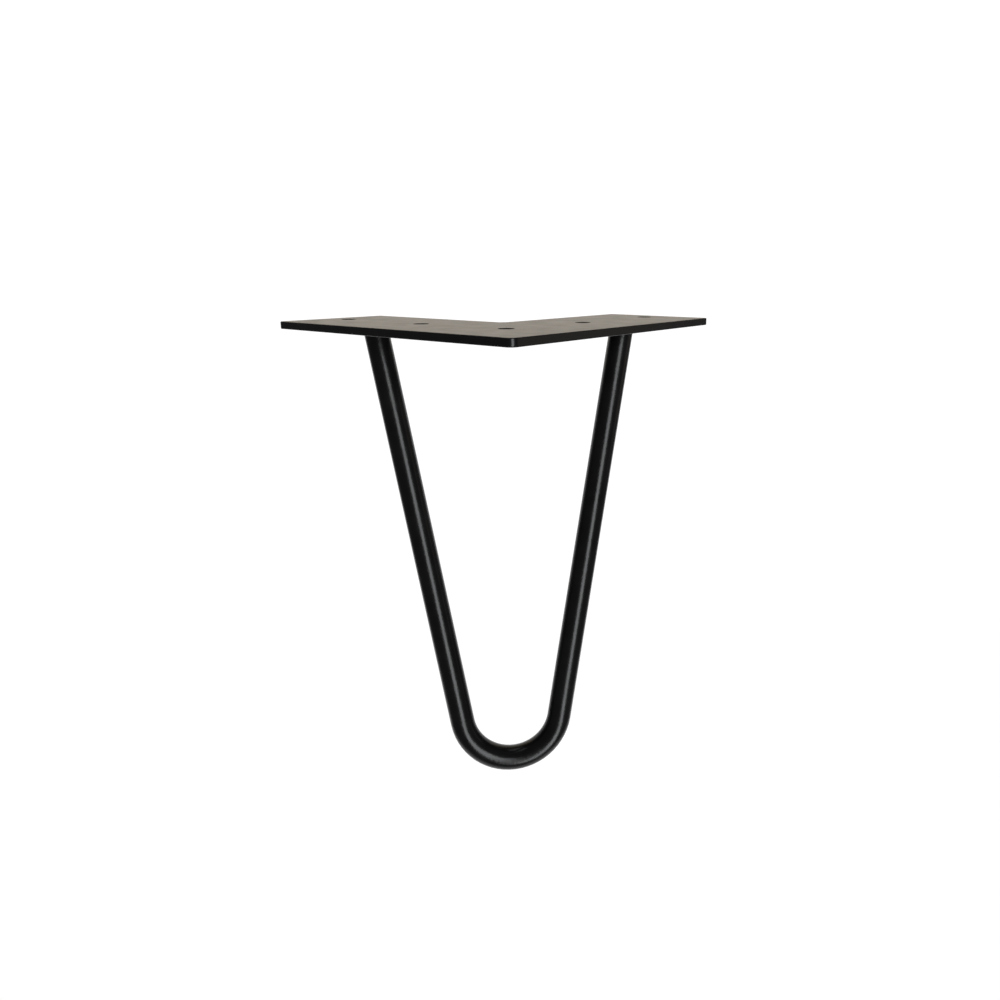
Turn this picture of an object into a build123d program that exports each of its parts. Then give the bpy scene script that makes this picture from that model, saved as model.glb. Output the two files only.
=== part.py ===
from build123d import *
import math
import os

# Hairpin table leg: a round steel rod bent into a narrow U and welded under a flat L-shaped plate.
# Millimetres, +Z up. The origin is the corner screw hole's centre, on the face that meets the table.
# +Y runs from the plate's outer corner in between its two arms, and +X points to the right arm.

# Mounting plate
ARM_LENGTH = 125.0  # along an arm's outer edge, from the outer corner to the arm's end
ARM_WIDTH = 50.0
PLATE_THICKNESS = 3.0
OUTER_CORNER_RADIUS = 3.0
INNER_CORNER_RADIUS = 3.0
END_CORNER_RADIUS = 1.0
EDGE_ROUND = 0.4  # the cut edges, broken all round on both faces

# Screw holes
HOLE_DIAMETER = 6.0
CORNER_HOLE_INSET = 27.0  # from each of the two outer edges to the corner hole
END_HOLE_MARGIN = 11.0  # from an arm's end to its outermost hole
HOLE_SPACING = 45.0  # between the two holes on an arm

# Hairpin rod
ROD_DIAMETER = 10.0
ROD_MARGIN = 28.5  # from an arm's end to the rod's centre under it
LEG_HEIGHT = 190.0  # from the table face down to the floor
BEND_RADIUS = 21.0  # of the rod's centre line round the foot
FOOT_REACH = 27.0  # how far the foot stands out towards the outer corner, past the rod's ends

# Weld beads
WELD_LEG = 2.2  # along the plate, and down the rod
WELD_CROWN = 0.3  # how far the bead's face swells past a straight line, half way down
WELD_TOE = 0.3  # the bead's lip where it runs out on the rod

# The arms run at 45 degrees either side of +Y
outer_corner = Vector(0, -CORNER_HOLE_INSET * math.sqrt(2), 0)
plate_plane = Plane(origin=outer_corner, x_dir=(1, 1, 0), z_dir=(0, 0, 1))
underside = Plane((0, 0, -PLATE_THICKNESS))
arm_middle = ARM_WIDTH / 2
rod_radius = ROD_DIAMETER / 2


def on_right_arm(margin):
    """A point on the right arm's middle line, this far in from the arm's end, on the table face."""
    return plate_plane.from_local_coords(Vector(ARM_LENGTH - margin, arm_middle, 0))


def make_mounting_plate():
    """The L-shaped plate: two strips that share the corner, rounded, with five plain holes."""
    corner_hole = (CORNER_HOLE_INSET, CORNER_HOLE_INSET)
    hole_places = [corner_hole]
    for margin in (END_HOLE_MARGIN, END_HOLE_MARGIN + HOLE_SPACING):
        hole_places.append((ARM_LENGTH - margin, arm_middle))
        hole_places.append((arm_middle, ARM_LENGTH - margin))
    with BuildPart() as plate:
        with BuildSketch(plate_plane):
            Rectangle(ARM_LENGTH, ARM_WIDTH, align=Align.MIN)
            Rectangle(ARM_WIDTH, ARM_LENGTH, align=Align.MIN)
            fillet(vertices().group_by(lambda v: max(v.X, v.Y))[-1], END_CORNER_RADIUS)
            fillet(vertices().sort_by_distance((ARM_WIDTH, ARM_WIDTH))[0], INNER_CORNER_RADIUS)
            fillet(vertices().sort_by_distance((0, 0))[0], OUTER_CORNER_RADIUS)
        extrude(amount=-PLATE_THICKNESS)
        flat_faces = faces().filter_by(Axis.Z)
        fillet(flat_faces.edges(), EDGE_ROUND)
        with Locations(plate_plane):
            with Locations(*hole_places):
                Hole(HOLE_DIAMETER / 2)
    return plate.part


def hairpin_line():
    """The rod's centre line: two straight runs and the bend between them, in a leaning plane."""
    rod_end = on_right_arm(ROD_MARGIN)
    drop = LEG_HEIGHT - rod_radius - PLATE_THICKNESS
    depth = math.hypot(drop, FOOT_REACH)
    lean_plane = Plane(
        origin=(0, rod_end.Y, -PLATE_THICKNESS),
        x_dir=(1, 0, 0),
        z_dir=(0, -drop, FOOT_REACH),
    )
    half_span = rod_end.X
    bend_depth = depth - BEND_RADIUS
    # Each straight run is tangent to the bend and turned in from the hairpin's middle line by this angle
    to_bend_centre = math.hypot(half_span, bend_depth)
    splay = math.atan2(half_span, bend_depth) - math.asin(BEND_RADIUS / to_bend_centre)
    tangent_x = BEND_RADIUS * math.cos(splay)
    tangent_y = -bend_depth - BEND_RADIUS * math.sin(splay)
    # The runs go on past the plate's underside, to be cut flush with it
    overrun = ROD_DIAMETER
    top_x = half_span + overrun * math.sin(splay)
    top_y = overrun * math.cos(splay)
    with BuildLine(lean_plane) as line:
        Line((top_x, top_y), (tangent_x, tangent_y))
        ThreePointArc((tangent_x, tangent_y), (0, -depth), (-tangent_x, tangent_y))
        Line((-tangent_x, tangent_y), (-top_x, top_y))
    return line.wire()


def make_hairpin_rod(centre_line):
    """The bent rod, its ends cut flush with the plate's underside."""
    with BuildPart() as rod:
        with BuildSketch(Plane(origin=centre_line @ 0, z_dir=centre_line % 0)):
            Circle(rod_radius)
        sweep(path=centre_line)
        split(bisect_by=underside, keep=Keep.BOTTOM)
    return rod.part


def make_right_weld_bead(centre_line, rod):
    """The fillet weld round the rod's right end: a crowned ring in the angle of plate and rod."""
    run = centre_line % 0
    rod_end = on_right_arm(ROD_MARGIN) - Vector(0, 0, PLATE_THICKNESS)
    mid_swell = (WELD_LEG + WELD_TOE) / 2 + WELD_CROWN
    with BuildPart() as bead:
        for below, swell in ((0, WELD_LEG), (WELD_LEG / 2, mid_swell), (WELD_LEG, WELD_TOE)):
            # A level cut through the leaning rod is an ellipse, long the way that the rod leans
            centre = rod_end + run * (below / -run.Z)
            with BuildSketch(Plane(origin=centre, x_dir=(run.X, run.Y, 0), z_dir=(0, 0, 1))):
                Ellipse(rod_radius / -run.Z + swell, rod_radius + swell)
        loft(ruled=True)
        add(rod, mode=Mode.SUBTRACT)
    return bead.part


centre_line = hairpin_line()
hairpin_rod = make_hairpin_rod(centre_line)
right_weld_bead = make_right_weld_bead(centre_line, hairpin_rod)
pieces = {
    "mounting_plate": make_mounting_plate(),
    "hairpin_rod": hairpin_rod,
    "right_weld_bead": right_weld_bead,
    "left_weld_bead": mirror(right_weld_bead, about=Plane.YZ),
}

os.makedirs("parts", exist_ok=True)
for name, piece in pieces.items():
    piece.label = name
    export_step(piece, f"parts/{name}.step")
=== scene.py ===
import math
import random
from collections import namedtuple

import bpy
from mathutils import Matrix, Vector


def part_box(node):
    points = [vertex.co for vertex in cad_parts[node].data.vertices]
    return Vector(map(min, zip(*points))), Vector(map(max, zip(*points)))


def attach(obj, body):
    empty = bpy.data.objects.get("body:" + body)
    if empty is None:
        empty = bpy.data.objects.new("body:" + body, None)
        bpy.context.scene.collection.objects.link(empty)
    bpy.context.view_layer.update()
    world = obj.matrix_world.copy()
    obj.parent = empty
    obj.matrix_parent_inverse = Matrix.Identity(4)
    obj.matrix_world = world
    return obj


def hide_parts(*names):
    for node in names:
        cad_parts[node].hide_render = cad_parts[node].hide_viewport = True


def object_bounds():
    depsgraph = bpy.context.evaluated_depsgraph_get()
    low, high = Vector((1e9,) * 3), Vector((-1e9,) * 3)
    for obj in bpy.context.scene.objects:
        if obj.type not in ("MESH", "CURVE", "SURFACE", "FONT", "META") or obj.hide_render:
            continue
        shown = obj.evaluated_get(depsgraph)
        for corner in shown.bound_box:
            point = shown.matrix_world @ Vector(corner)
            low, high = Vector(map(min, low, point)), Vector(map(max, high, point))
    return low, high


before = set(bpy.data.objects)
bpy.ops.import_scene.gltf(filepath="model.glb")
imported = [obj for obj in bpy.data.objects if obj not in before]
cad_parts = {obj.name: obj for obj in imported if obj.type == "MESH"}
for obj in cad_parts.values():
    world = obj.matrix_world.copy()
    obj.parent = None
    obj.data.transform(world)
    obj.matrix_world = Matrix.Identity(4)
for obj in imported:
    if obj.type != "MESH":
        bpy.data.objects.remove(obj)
cad_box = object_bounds()

# Hairpin table leg, dressed in metres in the frame of its solids: the plate's table face is
# at z = 0 and the foot of the hairpin stands on the floor.
MM = 0.001

# The bent rod, as the solids have it
ROD_RADIUS = 5.0 * MM
BEND_RADIUS = 21.0 * MM

# The weld round each end of the rod, laid by hand as a ring of overlapping ripples
RIPPLES = 24
RIPPLE_SIDES = 8  # steps round the ring in one ripple
RIPPLE_HEIGHT = 0.24 * MM
RIPPLE_BOW = 0.9  # how far a ripple's middle runs ahead of its ends, in ripples
RIPPLE_DROP = 0.25  # share of a ripple that falls off to the next one
RIPPLE_STRAY = 0.3  # how much the ripples differ in spacing and height
SLOW_WANDER = 2  # times round the ring that the spacing drifts
QUICK_WANDER = 5  # times that it drifts a second, smaller way
QUICK_SHARE = 0.5  # of the slow drift
TOE_FADE = 4  # the larger, the nearer to the rod's toe the ripples run out
BEAD_STEPS = 10  # from the plate's toe to the rod's toe
BEAD_LIP = 0.2 * MM
BEAD_FULLNESS = 1.6  # 1 is a full round, 2 a straight slope
BEAD_BITE = 0.06 * MM  # how far the bead melts into the rod and the plate
BEAD_CREASE = math.radians(60)
Weld = namedtuple("Weld", "name node seed")
RIGHT_WELD = Weld("right_weld", "right_weld_bead", 11)
LEFT_WELD = Weld("left_weld", "left_weld_bead", 23)

# Satin black powder coat
COAT_DARK = (0.0022, 0.0022, 0.0025, 1.0)
COAT_PALE = (0.0040, 0.0040, 0.0043, 1.0)
COAT_GLOSS = 0.20
SMOOTH_COAT = (0.21, 0.26)  # roughness on the drawn rod and the plate's cut edges
WELD_COAT = (0.26, 0.32)
FLAT_FACE_EXTRA = 0.15  # the plate's rolled faces are rougher than its edges
CLOUD_SIZE = 9.0 * MM
PEEL_SIZE = 1.3 * MM
GRAIN_SIZE = 0.22 * MM
PEEL_DEPTH = 0.036 * MM
GRAIN_DEPTH = 0.009 * MM
CUT_LINE_SIZE = 0.55 * MM
CUT_LINE_DEPTH = 0.012 * MM
CUT_LINE_STRETCH = 0.06
CLOUD_DETAIL = 4.0
FINE_DETAIL = 2.0
SPECKLE_LOW = 0.3  # nearly all of a speckle's values lie between these two
SPECKLE_HIGH = 0.7

# Studio: a white paper sweep below and behind the hanging leg, in a dim grey room
PAPER_WIDTH = 2.5
PAPER_FRONT_WIDTH = 0.60
PAPER_FRONT = -0.25
PAPER_BACK = 0.95
PAPER_RISE = 1.25
PAPER_DROP = 0.40  # from the foot down to the paper, as the leg hangs from its plate
PAPER_BEND = 0.35
PAPER_BEND_STEPS = 16
PAPER_BORDER = 0.14  # where the paper's white runs out softly into the room
PAPER_FADE = 2.0  # 1 is an even fade across the border, and more a quicker one
PAPER_WHITE_SHARE = "white_share"  # the paper's map: 1 inside its border, 0 at its edge
PAPER_WHITE = (1.0, 1.0, 1.0, 1.0)
PAPER_PAINT = (0.82, 0.82, 0.81, 1.0)
PAPER_GLOW = 1.21
PAPER_SHADOW = 0.25  # share of the paper's tone that the lamps light, and that the leg shades
ROOM_GREY = (0.15, 0.15, 0.15, 1.0)

# Lamps, in metres and watts
Softbox = namedtuple("Softbox", "name place aim width height watts colour")
SOFTBOXES = (
    Softbox(
        name="tall_front_softbox",
        place=(0.66, -2.40, -0.67),
        aim=(0.0, 0.03, -0.67),
        width=1.05,
        height=2.86,
        watts=88.0,
        colour=(0.97, 0.985, 1.0),
    ),
    Softbox(
        name="top_softbox",
        place=(-0.15, 0.10, 1.50),
        aim=(0.0, 0.05, 0.0),
        width=1.0,
        height=1.0,
        watts=6.0,
        colour=(1.0, 1.0, 1.0),
    ),
    Softbox(
        name="warm_back_softbox",
        place=(0.0, 0.60, 0.22),
        aim=(0.0, 0.05, 0.0),
        width=1.2,
        height=0.36,
        watts=0.45,
        colour=(1.0, 0.6, 0.05),
    ),
    Softbox(
        name="warm_side_softbox",
        place=(2.0, 0.0, 0.10),
        aim=(0.0, 0.05, 0.0),
        width=1.0,
        height=1.2,
        watts=1.5,
        colour=(1.0, 0.85, 0.7),
    ),
)

# Camera, as the photograph was taken
PICTURE_SIZE = 1000
FILM_WIDTH = 36.0  # millimetres, as the lens is
FOCAL_PIXELS = 741.8
CENTRE_PIXEL = (570, 440)
CAMERA_PLACE = (-11.01 * MM, -262.12 * MM, 19.61 * MM)
CAMERA_TURN = math.radians(7.28)  # to the right
CAMERA_TILT = math.radians(-12.83)  # downwards
NEAREST_SEEN = 10.0 * MM


def pick_only(piece):
    """Selects this piece and nothing else, and makes it the active one."""
    bpy.ops.object.select_all(action="DESELECT")
    piece.select_set(True)
    bpy.context.view_layer.objects.active = piece


def apply_modifier(piece, kind, **settings):
    """Adds one modifier to the piece and applies it at once."""
    pick_only(piece)
    modifier = piece.modifiers.new(kind.title(), kind)
    for name, value in settings.items():
        setattr(modifier, name, value)
    bpy.ops.object.modifier_apply(modifier=modifier.name)


def copy_piece(piece):
    """A copy of the piece, with a mesh of its own."""
    twin = piece.copy()
    twin.data = piece.data.copy()
    bpy.context.collection.objects.link(twin)
    return twin


# Finishes
def speckle(tree, place, size, detail):
    """Soft random speckles of about this size."""
    noise = tree.nodes.new("ShaderNodeTexNoise")
    noise.inputs["Scale"].default_value = 1 / size
    noise.inputs["Detail"].default_value = detail
    tree.links.new(place, noise.inputs["Vector"])
    return noise.outputs["Fac"]


def between(tree, share, low, high):
    """A value that goes from low to high with the speckle."""
    spread = tree.nodes.new("ShaderNodeMapRange")
    spread.inputs["From Min"].default_value = SPECKLE_LOW
    spread.inputs["From Max"].default_value = SPECKLE_HIGH
    spread.inputs["To Min"].default_value = low
    spread.inputs["To Max"].default_value = high
    tree.links.new(share, spread.inputs["Value"])
    return spread.outputs["Result"]


def tones(tree, share, dark, pale):
    """A colour that goes from dark to pale with the speckle."""
    ramp = tree.nodes.new("ShaderNodeValToRGB")
    low, high = ramp.color_ramp.elements
    low.position = SPECKLE_LOW
    low.color = dark
    high.position = SPECKLE_HIGH
    high.color = pale
    tree.links.new(share, ramp.inputs["Fac"])
    return ramp.outputs["Color"]


def sums(tree, operation, *values):
    """One sum on sockets and numbers."""
    node = tree.nodes.new("ShaderNodeMath")
    node.operation = operation
    for socket, value in zip(node.inputs, values):
        if isinstance(value, float):
            socket.default_value = value
        else:
            tree.links.new(value, socket)
    return node.outputs["Value"]


def raise_surface(tree, height, depth, under=None):
    """Bumps the surface by this height map, on top of another bump if there is one."""
    bump = tree.nodes.new("ShaderNodeBump")
    bump.inputs["Distance"].default_value = depth
    tree.links.new(height, bump.inputs["Height"])
    if under is not None:
        tree.links.new(under, bump.inputs["Normal"])
    return bump.outputs["Normal"]


def how_level(tree):
    """1 on the plate's flat faces, 0 on its edges."""
    facing = tree.nodes.new("ShaderNodeSeparateXYZ")
    shape = tree.nodes.new("ShaderNodeNewGeometry")
    tree.links.new(shape.outputs["True Normal"], facing.inputs["Vector"])
    return sums(tree, "ABSOLUTE", facing.outputs["Z"])


def cut_lines(tree, place):
    """The cutter's fine upright lines."""
    stretch = tree.nodes.new("ShaderNodeMapping")
    stretch.inputs["Scale"].default_value = (1.0, 1.0, CUT_LINE_STRETCH)
    tree.links.new(place, stretch.inputs["Vector"])
    return speckle(tree, stretch.outputs["Vector"], CUT_LINE_SIZE, FINE_DETAIL)


def powder_coat(name, roughness, plate=False):
    """Satin black powder coat: clouds, orange peel and fine grain, and the plate's cut edges."""
    finish = bpy.data.materials.new(name)
    finish.use_nodes = True
    tree = finish.node_tree
    shader = tree.nodes["Principled BSDF"]
    place = tree.nodes.new("ShaderNodeTexCoord").outputs["Object"]
    clouds = speckle(tree, place, CLOUD_SIZE, CLOUD_DETAIL)
    peel = speckle(tree, place, PEEL_SIZE, FINE_DETAIL)
    grain = speckle(tree, place, GRAIN_SIZE, FINE_DETAIL)
    tree.links.new(tones(tree, clouds, COAT_DARK, COAT_PALE), shader.inputs["Base Color"])
    shader.inputs["Specular IOR Level"].default_value = COAT_GLOSS
    matt = between(tree, clouds, *roughness)
    surface = raise_surface(tree, grain, GRAIN_DEPTH)
    surface = raise_surface(tree, peel, PEEL_DEPTH, surface)
    if plate:
        level = how_level(tree)
        matt = sums(tree, "ADD", matt, sums(tree, "MULTIPLY", level, FLAT_FACE_EXTRA))
        upright = sums(tree, "SUBTRACT", 1.0, level)
        lines = sums(tree, "MULTIPLY", cut_lines(tree, place), upright)
        surface = raise_surface(tree, lines, CUT_LINE_DEPTH, surface)
    tree.links.new(matt, shader.inputs["Roughness"])
    tree.links.new(surface, shader.inputs["Normal"])
    return finish


def coat_solid(node, finish):
    """Gives a solid that shows as it is its coat."""
    for material_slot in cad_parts[node].material_slots:
        material_slot.material = finish


# Weld beads
Joint = namedtuple("Joint", "rod_end run leg")
Ring = namedtuple("Ring", "length width centre")


def welded_joint(node):
    """Where the rod ends in this weld's solid, which way it runs down, and the weld's leg."""
    low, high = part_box(node)
    rod_end = Vector(((low.x + high.x) / 2, (low.y + high.y) / 2, high.z))
    rod_low, rod_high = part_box("hairpin_rod")
    foot = Vector((0, rod_low.y + ROD_RADIUS, rod_low.z + ROD_RADIUS))
    middle = foot - Vector((0, rod_end.y, rod_end.z))
    half_span = abs(rod_end.x)
    bend_depth = middle.length - BEND_RADIUS
    to_bend_centre = math.hypot(half_span, bend_depth)
    splay = math.atan2(half_span, bend_depth) - math.asin(BEND_RADIUS / to_bend_centre)
    inward = Vector((-math.copysign(1, rod_end.x), 0, 0))
    run = middle.normalized() * math.cos(splay) + inward * math.sin(splay)
    return Joint(rod_end, run, high.z - low.z)


def rod_tilt(joint):
    """How far the rod leans from upright."""
    return math.acos(-joint.run.z)


def bead_section(leg):
    """The bead's face from the plate's toe to the rod's toe: how far off the rod, and how deep."""
    section = []
    for step in range(BEAD_STEPS + 1):
        turn = math.pi / 2 * step / BEAD_STEPS
        out = BEAD_LIP + (leg - BEAD_LIP) * math.cos(turn) ** BEAD_FULLNESS
        deep = leg * math.sin(turn) ** BEAD_FULLNESS
        section.append((out, deep))
    return section


def make_plain_bead(joint):
    """The bead before its ripples, round a rod that leans along x, drawn on ring by ring."""
    leg = joint.leg
    tilt = rod_tilt(joint)
    buried = [(-BEAD_BITE, leg), (-BEAD_BITE, -BEAD_BITE)]
    section = [(leg, -BEAD_BITE)] + bead_section(leg) + buried
    # A level cut through the leaning rod is an ellipse, long the way that the rod leans
    rings = []
    for out, deep in section:
        centre = Vector((deep * math.tan(tilt), 0, -deep))
        rings.append(Ring(ROD_RADIUS / math.cos(tilt) + out, ROD_RADIUS + out, centre))
    first = rings[0]
    bpy.ops.object.select_all(action="DESELECT")
    bpy.ops.mesh.primitive_circle_add(
        vertices=RIPPLES * RIPPLE_SIDES,
        radius=first.width,
        location=first.centre,
    )
    bead = bpy.context.object
    bpy.ops.object.transform_apply(location=True)
    bpy.ops.object.mode_set(mode="EDIT")
    bpy.ops.mesh.select_all(action="SELECT")
    bpy.ops.transform.resize(value=(first.length / first.width, 1, 1), center_override=first.centre)
    for above, ring in zip(rings, rings[1:]):
        drop = ring.centre - above.centre
        bpy.ops.mesh.extrude_edges_move(TRANSFORM_OT_translate={"value": drop})
        grow = (ring.length / above.length, ring.width / above.width, 1)
        bpy.ops.transform.resize(value=grow, center_override=ring.centre)
    # The last ring, inside the rod and the plate, closes on the first
    bpy.ops.mesh.select_all(action="DESELECT")
    bpy.ops.mesh.select_non_manifold()
    bpy.ops.mesh.bridge_edge_loops()
    bpy.ops.mesh.select_all(action="SELECT")
    bpy.ops.mesh.normals_make_consistent(inside=False)
    bpy.ops.object.mode_set(mode="OBJECT")
    return bead


def raise_ripples(bead, joint, seed):
    """Swells the bead's face into overlapping crescents, none quite like the next."""
    leg = joint.leg
    tilt = rod_tilt(joint)
    stray = random.Random(seed)
    heights = [1 - stray.uniform(0, RIPPLE_STRAY) for ripple in range(RIPPLES)]
    slow_turn = stray.uniform(0, math.tau)
    quick_turn = stray.uniform(0, math.tau)
    swell = bead.vertex_groups.new(name="ripples")
    for point in bead.data.vertices:
        deep = -point.co.z
        across = point.co.x - deep * math.tan(tilt)
        on_face = 0 <= deep <= leg and math.hypot(across, point.co.y) > ROD_RADIUS
        if not on_face:
            continue
        angle = math.atan2(point.co.y, across)
        down_face = 2 * math.asin((deep / leg) ** (1 / BEAD_FULLNESS)) / math.pi
        slow = math.sin(SLOW_WANDER * angle + slow_turn)
        quick = math.sin(QUICK_WANDER * angle + quick_turn)
        wander = slow + QUICK_SHARE * quick
        bow = RIPPLE_BOW * (1 - (2 * down_face - 1) ** 2)
        travel = RIPPLES * angle / math.tau + RIPPLE_STRAY * wander - bow
        step = travel % 1
        rise = min(1 - (1 - step) ** 2, (1 - step) / RIPPLE_DROP)
        fade = 1 - down_face ** TOE_FADE
        swell.add([point.index], rise * fade * heights[math.floor(travel) % RIPPLES], "REPLACE")
    apply_modifier(bead, "DISPLACE", vertex_group=swell.name, strength=RIPPLE_HEIGHT, mid_level=0.0)
    apply_modifier(bead, "SUBSURF", levels=1, render_levels=1)


def lay_weld(bead, weld, finish):
    """Ripples the plain bead and lays it round its rod end, in the angle of rod and plate."""
    joint = welded_joint(weld.node)
    bead.name = weld.name
    bead.data.name = weld.name
    raise_ripples(bead, joint, weld.seed)
    pick_only(bead)
    bead.location = joint.rod_end
    bead.rotation_euler = (0, 0, math.atan2(joint.run.y, joint.run.x))
    bpy.ops.object.transform_apply(location=True, rotation=True)
    bpy.ops.object.shade_smooth_by_angle(angle=BEAD_CREASE)
    bead.data.materials.append(finish)
    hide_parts(weld.node)
    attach(bead, "root")


# Studio
def pick_paper_edge(sweep, depth, floor_height):
    """In edit mode, selects the paper's edge on the floor at this depth."""
    pick_only(sweep)
    bpy.ops.object.mode_set(mode="EDIT")
    bpy.ops.mesh.select_mode(type="EDGE")
    bpy.ops.mesh.select_all(action="DESELECT")
    bpy.ops.object.mode_set(mode="OBJECT")
    for edge in sweep.data.edges:
        ends = [sweep.data.vertices[index].co for index in edge.vertices]
        at_depth = all(abs(end.y - depth) < MM for end in ends)
        on_floor = all(abs(end.z - floor_height) < MM for end in ends)
        edge.select = at_depth and on_floor
    bpy.ops.object.mode_set(mode="EDIT")


def mixed(tree, share, first, second):
    """Two shaders, going from the first to the second with this share."""
    mix = tree.nodes.new("ShaderNodeMixShader")
    if isinstance(share, float):
        mix.inputs["Fac"].default_value = share
    else:
        tree.links.new(share, mix.inputs["Fac"])
    tree.links.new(first, mix.inputs[1])
    tree.links.new(second, mix.inputs[2])
    return mix.outputs["Shader"]


def sweep_paper():
    """White paper: white to the eye and in what shines, with a soft shadow and a soft border."""
    paper = bpy.data.materials.new("white_paper")
    paper.use_nodes = True
    tree = paper.node_tree
    tree.nodes.remove(tree.nodes["Principled BSDF"])
    glow = tree.nodes.new("ShaderNodeEmission")
    glow.inputs["Color"].default_value = PAPER_WHITE
    glow.inputs["Strength"].default_value = PAPER_GLOW
    matt = tree.nodes.new("ShaderNodeBsdfDiffuse")
    matt.inputs["Color"].default_value = PAPER_PAINT
    clear = tree.nodes.new("ShaderNodeBsdfTransparent")
    border = tree.nodes.new("ShaderNodeAttribute")
    border.attribute_name = PAPER_WHITE_SHARE
    white = sums(tree, "POWER", border.outputs["Fac"], PAPER_FADE)
    ray = tree.nodes.new("ShaderNodeLightPath")
    seen = sums(tree, "MAXIMUM", ray.outputs["Is Camera Ray"], ray.outputs["Is Glossy Ray"])
    seen = sums(tree, "MAXIMUM", seen, ray.outputs["Is Transmission Ray"])
    shown = mixed(tree, PAPER_SHADOW, glow.outputs["Emission"], matt.outputs["BSDF"])
    whole = mixed(tree, seen, matt.outputs["BSDF"], shown)
    faded = mixed(tree, white, clear.outputs["BSDF"], whole)
    tree.links.new(faded, tree.nodes["Material Output"].inputs["Surface"])
    return paper


def hang_paper_sweep(floor_height):
    """The sheet of paper below the leg, narrow in front and curved up behind it."""
    bpy.ops.object.select_all(action="DESELECT")
    middle = (PAPER_FRONT + PAPER_BACK) / 2
    bpy.ops.mesh.primitive_plane_add(size=1.0, location=(0, middle, floor_height))
    sweep = bpy.context.object
    sweep.name = "paper_sweep"
    sweep.scale = (PAPER_WIDTH, PAPER_BACK - PAPER_FRONT, 1)
    bpy.ops.object.transform_apply(location=True, scale=True)
    pick_paper_edge(sweep, PAPER_FRONT, floor_height)
    bpy.ops.transform.resize(value=(PAPER_FRONT_WIDTH / PAPER_WIDTH, 1, 1))
    bpy.ops.object.mode_set(mode="OBJECT")
    pick_paper_edge(sweep, PAPER_BACK, floor_height)
    bpy.ops.mesh.extrude_region_move(TRANSFORM_OT_translate={"value": (0, 0, PAPER_RISE)})
    bpy.ops.object.mode_set(mode="OBJECT")
    pick_paper_edge(sweep, PAPER_BACK, floor_height)
    bpy.ops.mesh.bevel(offset=PAPER_BEND, segments=PAPER_BEND_STEPS)
    bpy.ops.mesh.select_mode(type="FACE")
    bpy.ops.mesh.select_all(action="SELECT")
    bpy.ops.mesh.inset(thickness=PAPER_BORDER)
    bpy.ops.object.mode_set(mode="OBJECT")
    # What is inside the border is still selected
    white_share = sweep.data.attributes.new(PAPER_WHITE_SHARE, "FLOAT", "POINT")
    for point, share in zip(sweep.data.vertices, white_share.data):
        share.value = float(point.select)
    bpy.ops.object.shade_smooth()
    sweep.data.materials.append(sweep_paper())


def set_room_light():
    """The dim grey room round the paper."""
    room = bpy.data.worlds.new("studio_room")
    room.use_nodes = True
    room.node_tree.nodes["Background"].inputs["Color"].default_value = ROOM_GREY
    bpy.context.scene.world = room


def hang_softbox(softbox):
    """A rectangular soft lamp that points at its aim and doesn't show itself."""
    lamp = bpy.data.lights.new(softbox.name, "AREA")
    lamp.shape = "RECTANGLE"
    lamp.size = softbox.width
    lamp.size_y = softbox.height
    lamp.energy = softbox.watts
    lamp.color = softbox.colour
    holder = bpy.data.objects.new(softbox.name, lamp)
    bpy.context.collection.objects.link(holder)
    holder.location = softbox.place
    towards = Vector(softbox.aim) - Vector(softbox.place)
    holder.rotation_euler = towards.to_track_quat("-Z", "Y").to_euler()
    holder.visible_camera = False


def set_camera():
    """The camera where the photograph was taken from."""
    eye = bpy.data.cameras.new("photo_camera")
    eye.sensor_width = FILM_WIDTH
    eye.lens = FOCAL_PIXELS / PICTURE_SIZE * FILM_WIDTH
    eye.shift_x = 0.5 - CENTRE_PIXEL[0] / PICTURE_SIZE
    eye.shift_y = CENTRE_PIXEL[1] / PICTURE_SIZE - 0.5
    eye.clip_start = NEAREST_SEEN
    camera = bpy.data.objects.new("photo_camera", eye)
    bpy.context.collection.objects.link(camera)
    camera.location = CAMERA_PLACE
    camera.rotation_euler = (math.pi / 2 + CAMERA_TILT, 0, -CAMERA_TURN)
    bpy.context.scene.camera = camera


coat_solid("mounting_plate", powder_coat("satin_black_coat_on_plate", SMOOTH_COAT, plate=True))
coat_solid("hairpin_rod", powder_coat("satin_black_coat_on_rod", SMOOTH_COAT))
weld_coat = powder_coat("satin_black_coat_on_welds", WELD_COAT)
right_bead = make_plain_bead(welded_joint(RIGHT_WELD.node))
left_bead = copy_piece(right_bead)
lay_weld(right_bead, RIGHT_WELD, weld_coat)
lay_weld(left_bead, LEFT_WELD, weld_coat)

hang_paper_sweep(cad_box[0].z - PAPER_DROP)
set_room_light()
for softbox in SOFTBOXES:
    hang_softbox(softbox)
set_camera()

bpy.context.scene.view_settings.view_transform = "Standard"
